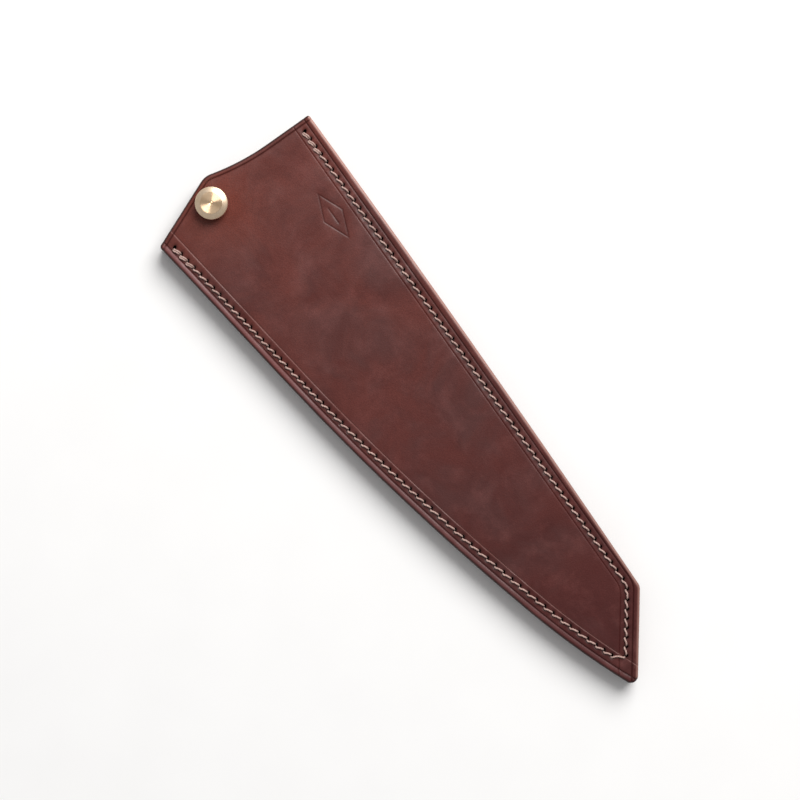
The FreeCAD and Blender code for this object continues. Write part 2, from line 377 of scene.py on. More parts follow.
def faceRows():
    # Rows of points beside each crease, and one where the open face starts
    rows = []
    step, past = leather["rim"], layout["rowsPast"]
    for offset in layout["nearCrease"]:
        for crease in ("outerCrease", "innerCrease"):
            rows.append(guideLine(panel[crease] + offset, step, past))
            rows.append(edgeLine(panel[crease] + offset, step, past))
        rows.append(mouthLine(panel["mouthCrease"] + offset, step, past))
    rows.append(guideLine(*layout["fieldRow"]))
    rows.append(edgeLine(*layout["fieldRow"]))
    return rows


def backRows():
    # Rows of points beside the channels that the back stitches lie in
    step, past = leather["rim"], layout["rowsPast"]
    rows = [guideLine(stitches["spineInset"] + offset, step, past) for offset in layout["nearChannel"]]
    rows += [edgeLine(stitches["edgeInset"] + offset, step, past, stitches["edgeDrift"])
             for offset in layout["nearChannel"]]
    return rows


def pinDistance(places):
    return np.linalg.norm(places - np.array(panel["pin"]), axis=1)


def fieldPoints():
    # Loose points over the open face, a little out of line
    rng = np.random.default_rng(layout["seed"])
    low, high = outline.min(0), outline.max(0)
    xs = np.arange(low[0], high[0], layout["grid"])
    ys = np.arange(low[1], high[1], layout["grid"])
    grid = np.stack(np.meshgrid(xs, ys), -1).reshape(-1, 2)
    grid += rng.uniform(-layout["jitter"], layout["jitter"], grid.shape)
    grid = grid[inside(grid, outline)]
    clear = np.minimum(distanceTo(grid, guideLine(0)), distanceTo(grid, edgeLine(0)))
    keep = (clear > layout["fieldInset"]) & (distanceTo(grid, mouthLine(0)) > layout["fieldFromMouth"])
    keep &= pinDistance(grid) > panel["pinHole"] + layout["fieldFromPin"]
    return grid[keep]


def circle(centre, radius, count=48):
    a = np.arange(count) * 2 * math.pi / count
    return np.array(centre) + radius * np.stack([np.cos(a), np.sin(a)], 1)


def triangulate(rings, rows, loose, merge):
    # Rings are closed, rows open, loose points free. Points closer than merge become one.
    places, edges = [], []
    for ring in rings:
        start = len(places)
        places += [tuple(p) for p in ring]
        edges += [(start + i, start + (i + 1) % len(ring)) for i in range(len(ring))]
    for row in rows:
        start = len(places)
        places += [tuple(p) for p in row]
        edges += [(start + i, start + i + 1) for i in range(len(row) - 1)]
    places += [tuple(p) for p in loose]
    verts, _, faces, *_ = delaunay_2d_cdt(places, edges, [], 0, merge, False)
    verts = np.array([tuple(v) for v in verts])
    faces = np.array([tuple(f) for f in faces])
    a, b, c = (verts[faces[:, k]] for k in range(3))
    area = (b[:, 0] - a[:, 0]) * (c[:, 1] - a[:, 1]) - (b[:, 1] - a[:, 1]) * (c[:, 0] - a[:, 0])
    faces[area < 0] = faces[area < 0][:, ::-1]
    return verts, faces[np.abs(area) > 1e-12]


def inHoles(places):
    result = inside(places, circle(panel["pin"], panel["pinHole"]))
    for hole, centre in zip(allHoles, holeCentres):
        near = np.where(np.abs(places - centre).max(1) < stitches["holeReach"])[0]
        if len(near):
            result[near] |= inside(places[near], holeLoop(hole))
    return result


def cutAway(verts, faces, outer):
    # Keeps the triangles inside the outer ring and outside every hole
    centre = verts[faces].mean(1)
    faces = faces[inside(centre, outer) & ~inHoles(centre)]
    used, faces = np.unique(faces, return_inverse=True)
    return verts[used], faces.reshape(-1, 3)


def boundaryLoops(faces):
    # The point numbers round the outside and round each hole
    after = {}
    have = {(int(f[i]), int(f[(i + 1) % 3])) for f in faces for i in range(3)}
    for a, b in have:
        if (b, a) not in have:
            after.setdefault(a, []).append(b)
    loops = []
    while after:
        start = next(iter(after))
        loop, here = [], start
        while here in after:
            loop.append(here)
            following = after[here].pop()
            if not after[here]:
                del after[here]
            here = following
            if here == start:
                break
        loops.append(loop)
    return loops


def newPiece(name, places, faces, body, node):
    # Places are in mm from the frame's origin
    mesh = bpy.data.meshes.new(name)
    mesh.from_pydata((np.array(places) * mm).tolist(), [], faces)
    mesh.validate()
    mesh.shade_smooth()
    obj = bpy.data.objects.new(name, mesh)
    scene.collection.objects.link(obj)
    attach(obj, body)
    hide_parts(node)
    return obj


def layer(name, node, rings, rows, loose, work, faceLevel, innerLevel):
    # One flat piece of leather: a worked face, walls all round and a flat inner face
    sign = 1 if faceLevel > innerLevel else -1
    verts, faces = triangulate(rings, rows, loose, layout["mergeFace"])
    verts, faces = cutAway(verts, faces, outline)
    height, gaps = work(verts)
    top = faceLevel + sign * height
    places, tris = [np.column_stack([verts, top])], [faces]
    total = len(verts)
    feet = []  # lowest ring of each wall: its points' numbers and where they are
    for loop in boundaryLoops(faces):
        around = verts[loop]
        isOuter = distanceTo(around[:1], outline, True)[0] < leather["closest"]
        above = np.array(loop)
        for share in layout["wallSteps"] if isOuter else (0.0,):
            places.append(np.column_stack([around, innerLevel + (top[loop] - innerLevel) * share]))
            below = np.arange(total, total + len(loop))
            total += len(loop)
            a, b = above, np.roll(above, -1)
            c, d = np.roll(below, -1), below
            tris.append(np.column_stack([b, a, d]))
            tris.append(np.column_stack([b, d, c]))
            above = below
        feet.append((above, around))
    rim = max((around for _, around in feet), key=lambda around: np.ptp(around[:, 0]))
    flat, under = triangulate([around for _, around in feet], [], [], layout["mergeInside"])
    flat, under = cutAway(flat, under, rim)
    numbers = np.concatenate([above for above, _ in feet])
    footing = np.vstack([around for _, around in feet])
    found = np.array([numbers[np.argmin(((footing - p) ** 2).sum(1))] for p in flat])
    tris.append(found[under][:, ::-1])
    places, tris = np.vstack(places), np.vstack(tris)
    places[:, :2] -= middle
    obj = newPiece(name, places, tris[:, ::sign].tolist(), "sheath", node)
    obj.data.set_sharp_from_angle(angle=math.radians(panel["sharp"]))
    return obj, gaps


def setAttribute(mesh, name, values, rest=0.0):
    attribute = mesh.attributes.new(name, "FLOAT", "POINT")
    data = np.full(len(mesh.vertices), rest, np.float32)
    data[:len(values)] = values
    attribute.data.foreach_set("value", data)


def rimDrop(edgeGap):
    # A rounded nose, then a slope that flattens out
    start, end = panel["bevelStart"], panel["bevelEnd"]
    t = np.clip((edgeGap - start) / (end - start), 0, 1)
    bevel = panel["bevelDrop"] * (1 - t) ** panel["bevelCurve"]
    nose = (panel["rimDrop"] - panel["bevelDrop"]) * (1 - np.sqrt(np.clip(edgeGap / start, 0, 1)))
    return -bevel - nose


def softPit(gap, half):
    return np.exp(-(gap / half) ** 2)


def creaseCut(gap):
    t = np.clip(1 - gap / panel["creaseHalf"], 0, 1)
    return -panel["creaseDepth"] * t * t * (3 - 2 * t)


def waves(places):
    # Slow swells of hand-worked leather
    x, y = places[:, 0], places[:, 1]
    return panel["waves"] * (np.sin(x / 17 + 1.1) * np.sin(y / 13 + 0.4) + 0.6 * np.sin(x / 7.3 + y / 9.1))


# How the colour follows the work, and where highlights, shade and light falloff are painted in
toning = {
    "creased": 0.34, "stitched": 1.2, "stamped": 0.3, "rubbed": 0.3,  # half widths
    "burnish": (1.7, 0.6), "paintedEdgeHighlight": (2.3, 0.5),  # strength at the edge, and the distance that takes off 1
    "wallBurnish": 0.6, "beadHighlight": (1.75, 0.7),  # middle and half width
    "edgeHighlightFade": 0.45, "beadHighlightFade": 0.75,  # share lost by the tip
    "warmReach": 17.0, "length": 235.0, "nearestFade": 0.3,
}


def warmth(places):
    # The leather is tinted redder round the pin
    return np.exp(-(pinDistance(places) / toning["warmReach"]) ** 2)


def nearest(places, edgeGap, line):
    # 1 where the nearest edge is this one, fading to 0 elsewhere
    return 1 - np.clip((distanceTo(places, line) - edgeGap) / toning["nearestFade"], 0, 1)


def stampGap(places):
    # Distance from the lozenge or its bar, whichever is nearer
    cx, cy = stamp["centre"]
    x, y = np.abs(places[:, 0] - cx), np.abs(places[:, 1] - cy)
    size = stamp["long"] * stamp["short"] / math.hypot(stamp["long"], stamp["short"])
    lozenge = np.abs(x / stamp["long"] + y / stamp["short"] - 1) * size
    return np.minimum(lozenge, np.hypot(np.maximum(x - stamp["bar"], 0), y))


def commonGaps(places):
    return {"edge": distanceTo(places, outline, True), "hole": holeGap(places), "warm": warmth(places),
            "along": np.clip(places[:, 0] / toning["length"], 0, 1)}


def workFront(places):
    # Height over the plain face, and the distances that the colour follows
    lines, gaps, seam = creaseLines(), commonGaps(places), seamDistance(places)
    crease = {key: distanceTo(places, line) for key, line in lines.items()}
    border = np.minimum(crease["spineOuter"], crease["edgeOuter"])
    inner = np.minimum(crease["spineInner"], crease["edgeInner"])
    edge, mouth = gaps["edge"], crease["mouth"]
    gaps.update(crease=np.minimum(border, mouth), mark=stampGap(places), rub=crease["edgeInner"],
                upper=nearest(places, edge, spineEdge(layout["measured"])),
                lower=nearest(places, edge, edgeLine(0, layout["measured"])))
    height = rimDrop(edge) + creaseCut(border) + creaseCut(inner) + creaseCut(mouth)
    hollows = ((border, "borderSink"), (mouth, "mouthSink"), (inner, "innerSink"), (seam, "seamSink"),
               (gaps["hole"], "holeSink"))
    for gap, key in hollows:
        depth, half = panel[key]
        height -= depth * softPit(gap, half)
    height -= stamp["depth"] * softPit(gaps["mark"], stamp["line"])
    rise = panel["waveRise"]
    free = np.clip(edge - panel["flatEdge"], 0, rise) / rise
    free *= np.clip(pinDistance(places) - panel["flatPin"], 0, rise) / rise
    return height + free * waves(places), gaps


def workBack(places):
    gaps, seam = commonGaps(places), seamDistance(places)
    gaps["crease"] = np.abs(seam - panel["channelHalf"])
    t = np.clip((panel["channelHalf"] + panel["channelSlack"] - seam) / panel["channelWall"], 0, 1)
    return rimDrop(gaps["edge"]) - panel["channelDepth"] * t * t * (3 - 2 * t), gaps


def fromEdge(edge, key):
    strength, width = toning[key]
    return np.clip(strength - edge / width, 0, 1)


def toneLeather(mesh, gaps):
    edge, along = gaps["edge"], gaps["along"]
    setAttribute(mesh, "burnish", fromEdge(edge, "burnish"), toning["wallBurnish"])
    # Painted light falloff along the length: lighter at the mouth, darker at the tip
    setAttribute(mesh, "paintedLightFalloff", along)
    setAttribute(mesh, "warm", gaps["warm"])
    setAttribute(mesh, "creased", softPit(gaps["crease"], toning["creased"]))
    # Painted shade round each stitch hole
    setAttribute(mesh, "stitched", softPit(gaps["hole"], toning["stitched"]))
    if "mark" in gaps:
        centre, half = toning["beadHighlight"]
        # Painted highlight on the spine edge, which faces the key light, weaker towards the tip
        pale = fromEdge(edge, "paintedEdgeHighlight") * gaps["upper"] * (1 - toning["edgeHighlightFade"] * along)
        # Painted highlight on the crown of the lower border, where it faces the key light, weaker towards the
        # tip
        beadHighlight = softPit(edge - centre, half) * gaps["lower"] * (1 - toning["beadHighlightFade"] * along)
        setAttribute(mesh, "stamped", softPit(gaps["mark"], toning["stamped"]))
        # Painted highlight along the inner crease by the lower edge
        setAttribute(mesh, "rubbed", softPit(gaps["rub"], toning["rubbed"]))
        setAttribute(mesh, "paintedEdgeHighlight", pale)
        setAttribute(mesh, "beadHighlight", beadHighlight)


def makePanels():
    rims = [offsetRing(outline, inset) for inset in layout["rimRings"]]
    cuts = [holeLoop(h) for h in allHoles] + [circle(panel["pin"], panel["pinHole"])]
    around = np.vstack([holeLoop(h, scale) for h in allHoles for scale in layout["holeRings"]])
    wide = np.vstack([holeLoop(h, layout["wideHoleRing"], layout["wideHoleSides"]) for h in allHoles])
    field = fieldPoints()
    shoulder = offsetRing(outline, layout["shoulder"])
    clear = layout["shoulder"] - layout["shoulderSlack"]
    shoulder = shoulder[distanceTo(shoulder, outline, True) > clear]
    marks = [stampRing(scale) for scale in stamp["rings"]]
    front, frontGaps = layer("frontLeather", "front_panel", rims + cuts + marks, faceRows() + barRows(),
                             np.vstack([around, wide, field, shoulder]), workFront,
                             leather["face"], leather["pocketRoof"])
    back, backGaps = layer("backLeather", "back_panel", rims + cuts, backRows(),
                           np.vstack([around, field, shoulder]), workBack,
                           leather["back"], leather["pocketFloor"])
    toneLeather(front.data, frontGaps)
    toneLeather(back.data, backGaps)
    return front, back


frontLeather, backLeather = makePanels()
print("panels", len(frontLeather.data.vertices), len(backLeather.data.vertices))


# Thread: three plies laid together, one long tube
thread = {
    "size": 0.4, "flank": 0.93, "groove": 0.8,  # to the top of a ply, then shares of that
    "lay": 2.9,  # length of one turn
    "ring": 0.27, "legRing": 0.9, "sides": 12,
    "legDepth": 1.2, "stillDepth": 1.3,  # deeper in a hole, rings are sparse, and the plies don't turn
    "doubled": 3, "doubledShift": (-0.72, -0.12),  # stitches sewn twice, sideways and lift of the second
    # knots: forward of the hole, to its left, over the face, and share of a sidestep
    "rise": [(0.3, -0.38, -2.2, 0.0), (0.34, -0.42, -0.8, 0.4), (0.62, -0.46, -0.04, 0.8),
             (1.05, -0.32, 0.14, 1.0), (1.6, 0.0, 0.2, 1.0)],
    "dive": [(-1.5, 0.2, 0.16, 1.0), (-1.05, 0.26, -0.08, 1.0), (-0.68, 0.26, -0.55, 0.6),
             (-0.44, 0.28, -1.3, 0.0), (-0.34, 0.35, -2.2, 0.0)],
    # the same under the back panel, with heights over the table
    "underStart": [(-0.26, 0.5, 2.3), (-0.22, 0.5, 1.2), (0.05, 0.46, 0.49), (0.7, 0.36, 0.44)],
    "underEnd": [(-0.7, -0.36, 0.44), (-0.05, -0.46, 0.49), (0.22, -0.5, 1.2), (0.26, -0.5, 2.3)],
    # from one seam's last hole to the other's: the leg, then share of the way, forward, left, over the face
    "crossLeg": [(0.26, -0.5, -2.2), (0.3, -0.55, -0.7)],
    "cross": [(0.0, 0.5, -0.5, 0.0), (0.0, 1.1, -0.25, 0.2), (0.5, 0.0, -0.1, 0.2),
              (1.0, -1.4, -0.45, 0.2), (1.0, -0.8, -0.6, 0.0), (1.0, -0.35, -0.6, -0.6)],
}


def smoothPath(knots, spacing):
    # A curve through every knot
    knots = np.array(knots)
    padded = np.vstack([2 * knots[0] - knots[1], knots, 2 * knots[-1] - knots[-2]])
    path = []
    for i in range(len(knots) - 1):
        p0, p1, p2, p3 = padded[i:i + 4]
        low, high = sorted((p1[2], p2[2]))
        deep = high < leather["face"] - thread["legDepth"] and low > thread["legDepth"]
        step = thread["legRing"] if deep else spacing
        count = max(1, round(np.linalg.norm(p2 - p1) / step))
        for k in range(count):
            t = k / count
            path.append(0.5 * (2 * p1 + (p2 - p0) * t + (2 * p0 - 5 * p1 + 4 * p2 - p3) * t * t
                               + (3 * p1 - p0 - 3 * p2 + p3) * t ** 3))
    path.append(knots[-1])
    return np.array(path)


def place(hole, forward, across, level):
    point, along, left = hole
    return np.append(point + along * forward + left * across, level)


def frontStitch(here, there, sideways=0.0, lift=0.0):
    # Comes up at the right of one hole, swings over, and dives at the left of the next
    top = leather["face"] + lift
    return [place(hole, forward, across + sideways * share, top + level)
            for hole, knots in ((here, thread["rise"]), (there, thread["dive"]))
            for forward, across, level, share in knots]


def backStitch(here, there):
    return [place(hole, *knot) for hole, knots in ((here, thread["underStart"]), (there, thread["underEnd"]))
            for knot in knots]


def crossStitch(here, there):
    # On from one seam's last hole to the last hole of the other
    top = leather["face"]
    gap = there[0] - here[0]
    reach = np.linalg.norm(gap)
    along = gap / reach
    line = (here[0], along, np.array([-along[1], along[0]]))
    knots = [place(here, forward, across, top + level) for forward, across, level in thread["crossLeg"]]
    knots += [place(line, reach * share + forward, across, top + level)
              for share, forward, across, level in thread["cross"]]
    forward, across, level = thread["crossLeg"][0]
    return knots + [place(there, forward, across, top + level)]


def workedEnd(holes, inFront):
    # One end of the thread, in and out to the last hole
    knots = []
    for here, there in zip(holes, holes[1:]):
        knots += frontStitch(here, there) if inFront else backStitch(here, there)
        inFront = not inFront
    return knots, inFront


def sweep(path, verts, faces):
    # One closed tube with three lobes that turn as it goes
    step = np.diff(path, axis=0)
    length = np.linalg.norm(step, axis=1)
    run = np.vstack([step[:1], step[1:] / length[1:, None] + step[:-1] / length[:-1, None], step[-1:]])
    run /= np.linalg.norm(run, axis=1)[:, None]
    side = np.cross(run[0], [0.0, 0.0, 1.0])
    if np.linalg.norm(side) < 0.1:
        side = np.cross(run[0], [1.0, 0.0, 0.0])
    sides, still = thread["sides"], thread["stillDepth"]
    lobe = np.array([1.0, thread["flank"], thread["groove"], thread["flank"]] * 3) * thread["size"]
    turned, start = 0.0, len(verts)
    for k, point in enumerate(path):
        side = side - run[k] * (side @ run[k])
        side /= np.linalg.norm(side)
        up = np.cross(run[k], side)
        if k and not still <= point[2] <= leather["face"] - still:
            turned += 2 * math.pi * length[k - 1] / thread["lay"]
        for j in range(sides):
            a = turned + j * 2 * math.pi / sides
            verts.append((point + lobe[j] * (math.cos(a) * side + math.sin(a) * up)).tolist())
    last = start + sides * (len(path) - 1)
    for ring in range(start, last, sides):
        for j in range(sides):
            a, b = ring + j, ring + (j + 1) % sides
            faces.append((a, b, b + sides, a + sides))
    faces.append(tuple(start + j for j in reversed(range(sides))))
    faces.append(tuple(last + j for j in range(sides)))


def makeSeam(name, node, holes, shared=None):
    # Both ends of one thread go through every hole. shared is the other seam's last hole.
    first, _ = workedEnd(holes, False)
    second, inFront = workedEnd(holes, True)
    knots = first[::-1] + second
    if shared is not None:
        tail = crossStitch(holes[-1], shared)
        knots = knots + tail if inFront else tail[::-1] + knots
    verts, faces = [], []
    sweep(smoothPath(knots, thread["ring"]), verts, faces)
    for k in range(thread["doubled"]):
        again = frontStitch(holes[k], holes[k + 1], *thread["doubledShift"])
        sweep(smoothPath(again, thread["ring"]), verts, faces)
    verts = np.array(verts)
    verts[:, :2] -= middle
    return newPiece(name, verts, faces, "sheath", node)


spineThread = makeSeam("spineThread", "spine_seam_thread", spineHoles)
edgeThread = makeSeam("edgeThread", "edge_seam_thread", edgeHoles, spineHoles[-1])
print("threads", len(spineThread.data.vertices), len(edgeThread.data.vertices))


# Brass pin, turned
pin = {
    "sides": 128, "sharp": 35.0,  # degrees
    "faced": 16.25,  # the head's flat top starts here
    # radius and height of the turned outline, mm, from the shank's end to the middle of the head
    "outline": [
        (0.0, 0.5), (2.4, 0.5), (2.5, 0.53), (2.95, 1.0), (3.0, 1.1), (3.0, 4.0), (3.0, 7.0),
        (3.0, 10.4), (3.0, 10.52), (3.94, 10.52), (4.0, 10.58), (4.0, 11.7), (4.06, 11.9),
        (4.3, 12.15), (4.5, 12.3), (4.56, 12.32), (6.1, 12.32), (6.3, 12.38), (6.45, 12.52),
        (6.5, 12.72), (6.5, 13.6), (6.5, 14.6), (6.5, 15.18), (6.47, 15.28), (6.38, 15.36),
        (5.6, 15.76), (4.9, 16.1), (4.45, 16.33), (4.35, 16.37), (4.22, 16.38), (3.4, 16.38),
        (2.4, 16.38), (1.4, 16.38), (0.72, 16.38), (0.62, 16.34), (0.55, 16.26), (0.46, 16.26),
        (0.38, 16.34), (0.2, 16.41), (0.0, 16.42)],
}


def makePin():
    count = pin["sides"]
    verts, faces = [], []
    cx, cy = np.array(panel["pin"]) - middle
    ringStarts = []
    for radius, level in pin["outline"]:
        ringStarts.append(len(verts))
        if radius == 0:
            verts.append((cx, cy, level))
            continue
        for k in range(count):
            a = 2 * math.pi * k / count
            verts.append((cx + radius * math.cos(a), cy + radius * math.sin(a), level))
    for (ra, _), (rb, _), a, b in zip(pin["outline"], pin["outline"][1:], ringStarts, ringStarts[1:]):
        for k in range(count):
            n = (k + 1) % count
            if ra == 0:
                faces.append((a, b + n, b + k))
            elif rb == 0:
                faces.append((a + k, a + n, b))
            else:
                faces.append((a + k, a + n, b + n, b + k))
    obj = newPiece("brassPin", verts, faces, "pin", "retaining_pin")
    obj.data.set_sharp_from_angle(angle=math.radians(pin["sharp"]))
    return obj


brassPin = makePin()
print("pin turned")


# Finishes
def linear(red, green, blue):
    # A screen colour from 0 to 255, as the shaders take it
    return tuple(((c / 255 + 0.055) / 1.055) ** 2.4 for c in (red, green, blue)) + (1.0,)


socketNames = {
    "specular": "Specular IOR Level", "coatRough": "Coat Roughness", "coatIor": "Coat IOR",
    "sheen": "Sheen Weight", "sheenRough": "Sheen Roughness", "metal": "Metallic",
    "stretch": "Anisotropic", "turn": "Anisotropic Rotation",
}


class Finish:
    # A small helper round one material's nodes
    def __init__(self, name):
        self.material = bpy.data.materials.new(name)
        self.material.use_nodes = True
        self.nodes = self.material.node_tree.nodes
        self.links = self.material.node_tree.links
        self.shader = self.nodes["Principled BSDF"]
        self.place = self.node("ShaderNodeTexCoord").outputs["Object"]

    def node(self, kind, **settings):
        made = self.nodes.new(kind)
        for name, value in settings.items():
            setattr(made, name, value)
        return made

    def feed(self, socket, value):
        if isinstance(value, bpy.types.NodeSocket):
            self.links.new(value, socket)
        else:
            socket.default_value = value

    def noise(self, scale, detail=4.0, rough=0.55, stretch=None, distortion=0.0):
        made = self.node("ShaderNodeTexNoise")
        place = self.place
        if stretch:
            mapping = self.node("ShaderNodeMapping")
            mapping.inputs["Scale"].default_value = stretch
            self.links.new(self.place, mapping.inputs["Vector"])
            place = mapping.outputs["Vector"]
        self.links.new(place, made.inputs["Vector"])
        made.inputs["Scale"].default_value = scale
        made.inputs["Detail"].default_value = detail
        made.inputs["Roughness"].default_value = rough
        made.inputs["Distortion"].default_value = distortion
        return made.outputs["Fac"]

    def cells(self, scale):
        made = self.node("ShaderNodeTexVoronoi")
        self.links.new(self.place, made.inputs["Vector"])
        made.inputs["Scale"].default_value = scale
        return made.outputs["Distance"]

    def spread(self, value, low, high, toLow=0.0, toHigh=1.0):
        made = self.node("ShaderNodeMapRange")
        self.feed(made.inputs["Value"], value)
        made.inputs["From Min"].default_value = low
        made.inputs["From Max"].default_value = high
        made.inputs["To Min"].default_value = toLow
        made.inputs["To Max"].default_value = toHigh
        return made.outputs["Result"]

    def mix(self, share, one, two):
        made = self.node("ShaderNodeMix", data_type="RGBA")
        self.feed(made.inputs["Factor"], share)
        self.feed(made.inputs[6], one)
        self.feed(made.inputs[7], two)
        return made.outputs[2]

    def mask(self, scale, detail, rough, low, high, distortion=0.0, stretch=None, to=(0.0, 1.0)):
        # Cloudy noise, with low to high drawn out to the whole range
        return self.spread(self.noise(scale, detail, rough, stretch, distortion), low, high, *to)

    def tint(self, colour, mask, share, other):
        return self.mix(self.times(mask, share), colour, linear(*other))

    def times(self, one, two):
        return self.sum(one, two, "MULTIPLY")

    def sum(self, one, two, operation="ADD"):
        made = self.node("ShaderNodeMath", operation=operation)
        self.feed(made.inputs[0], one)
        self.feed(made.inputs[1], two)
        return made.outputs[0]

    def painted(self, name):
        return self.node("ShaderNodeAttribute", attribute_name=name).outputs["Fac"]

    def bump(self, height, strength, depth):
        made = self.node("ShaderNodeBump")
        self.feed(made.inputs["Height"], height)
        made.inputs["Strength"].default_value = strength
        made.inputs["Distance"].default_value = depth
        self.links.new(made.outputs["Normal"], self.shader.inputs["Normal"])

    def wear(self, colour, rough, **fixed):
        # Colour and roughness vary, the rest is the same all over
        self.feed(self.shader.inputs["Base Color"], colour)
        self.feed(self.shader.inputs["Roughness"], rough)
        for name, value in fixed.items():
            self.shader.inputs[socketNames[name]].default_value = value


leatherLook = {
    # The mouth and tip colours are painted light falloff, lighter at the mouth and darker at the tip
    "mouth": (109, 57, 50), "tip": (77, 36, 34), "deep": (58, 25, 24), "worn": (122, 72, 68),
    # The bead colour is a painted highlight on the crown of the lower border
    # The pale edge colour is a painted highlight along the spine edge
    "warm": (124, 54, 36), "edge": (34, 16, 15), "paintedEdgeHighlight": (184, 136, 124), "beadHighlight": (142, 98, 100),
    # The hole colour is painted shade round the stitch holes
    # The pale crease colour is a painted highlight along the inner crease by the lower edge
    "creaseShade": (50, 22, 21), "rub": (158, 112, 106), "hole": (18, 8, 8),
    # noise: scale, detail, roughness, lowest, highest, distortion
    "clouds": {"cloud": (52, 6, 0.65, 0.36, 0.62, 0.5), "patch": (95, 4, 0.6, 0.5, 0.75),
               "fleck": (1900, 4, 0.7, 0.4, 0.62)},
    # what each tint follows, how strong it is, and its colour, in the order they are laid on
    "tints": [("cloud", 0.5, "deep"), ("patch", 0.34, "worn"), ("warm", 0.55, "warm"),
              ("fleck", 0.38, "deep"), ("rubbed", 0.3, "rub"), ("creased", 0.62, "creaseShade"),
              ("beadHighlight", 0.55, "beadHighlight"), ("burnish", 0.85, "edge"), ("paintedEdgeHighlight", 0.85, "paintedEdgeHighlight"),
              ("stitched", 1.0, "hole"), ("stamped", 0.45, "creaseShade")],
    "roughNoise": (160, 4, 0.6, 0.3, 0.7), "rough": (0.36, 0.5), "edgeRough": 0.14, "specular": 0.13,
    # wax lies unevenly, thicker on the burnished edges
    "waxNoise": (48, 4, 0.6, 0.42, 0.66, 0.6), "wax": (0.1, 0.6), "edgeWax": 0.6,
    "coatRough": 0.34, "coatIor": 1.45,
    "pores": 1700, "fine": (2900, 3, 0.6), "fineShare": 0.7, "grain": (0.35, 0.0001),  # strength, metres
}


def waxedLeather():
    f, look = Finish("waxedLeather"), leatherLook
    clouds = {name: f.mask(*noise) for name, noise in look["clouds"].items()}
    # Painted light falloff: lighter at the mouth, darker towards the tip
    colour = f.mix(f.painted("paintedLightFalloff"), linear(*look["mouth"]), linear(*look["tip"]))
    for name, share, tone in look["tints"]:
        mask = clouds[name] if name in clouds else f.painted(name)
        colour = f.tint(colour, mask, share, look[tone])
    burnish = f.painted("burnish")
    rough = f.mask(*look["roughNoise"], to=look["rough"])
    rough = f.sum(rough, f.times(burnish, look["edgeRough"]), "SUBTRACT")
    f.wear(colour, rough, specular=look["specular"], coatRough=look["coatRough"], coatIor=look["coatIor"])
    wax = f.mask(*look["waxNoise"], to=look["wax"])
    f.feed(f.shader.inputs["Coat Weight"], f.sum(wax, f.times(burnish, look["edgeWax"])))
    f.bump(f.sum(f.cells(look["pores"]), f.times(f.noise(*look["fine"]), look["fineShare"])), *look["grain"])
    return f.material


weltLook = {
    "dark": (70, 36, 32), "light": (112, 66, 58), "stain": (84, 42, 38), "stainShare": 0.4,
    "fibres": (900, 4, 0.65, 0.32, 0.7), "lie": (0.25, 0.25, 2.2), "clouds": (60, 3, 0.5, 0.35, 0.7),
    "rough": (0.36, 0.5), "specular": 0.5, "grain": (0.5, 0.00012),
}


def weltLeather():
    # The cut edge of the leather between the panels, burnished, with its fibres lying flat
    f, look = Finish("burnishedWelt"), weltLook
    fibres = f.mask(*look["fibres"], stretch=look["lie"])
    colour = f.mix(fibres, linear(*look["dark"]), linear(*look["light"]))
    colour = f.tint(colour, f.mask(*look["clouds"]), look["stainShare"], look["stain"])
    f.wear(colour, f.spread(fibres, 0, 1, *look["rough"]), specular=look["specular"])
    f.bump(fibres, *look["grain"])
    return f.material


suedeLook = {
    "dark": (92, 58, 50), "light": (138, 98, 84), "nap": (1400, 5, 0.7, 0.3, 0.7),
    "rough": (0.8, 0.95), "sheen": 0.25, "sheenRough": 0.5, "grain": (0.7, 0.0002),
}


def suede():
    # The flesh side, inside the pocket
    f, look = Finish("fleshSide"), suedeLook
    nap = f.mask(*look["nap"])
    f.wear(f.mix(nap, linear(*look["dark"]), linear(*look["light"])), f.spread(nap, 0, 1, *look["rough"]),
           sheen=look["sheen"], sheenRough=look["sheenRough"])
    f.bump(nap, *look["grain"])
    return f.material


threadLook = {
    "dark": (166, 132, 122), "light": (206, 176, 166), "soil": (122, 88, 80), "soilShare": 0.5,
    "fibres": (3200, 4, 0.65, 0.3, 0.7), "soiled": (210, 4, 0.6, 0.42, 0.75),
    "rough": (0.5, 0.68), "sheen": 0.15, "grain": (0.5, 0.00006),
}


def waxedThread():
    f, look = Finish("waxedThread"), threadLook
    fibre = f.mask(*look["fibres"])
    colour = f.mix(fibre, linear(*look["dark"]), linear(*look["light"]))
    colour = f.tint(colour, f.mask(*look["soiled"]), look["soilShare"], look["soil"])
    f.wear(colour, f.spread(fibre, 0, 1, *look["rough"]), sheen=look["sheen"])
    f.bump(fibre, *look["grain"])
    return f.material


brass = {
    "sides": {"pale": (250, 226, 198), "dull": (240, 212, 180), "rough": 0.4, "stretch": 0.5},
    "top": {"pale": (248, 216, 180), "dull": (240, 204, 164), "rough": 0.31, "stretch": 0.96},
    "tarnish": (420, 4, 0.6, 0.35, 0.7), "dullRough": 0.02, "turn": 0.25,
    "toolMarks": 9000, "markDetail": 2, "grain": (0.12, 0.00001),
}


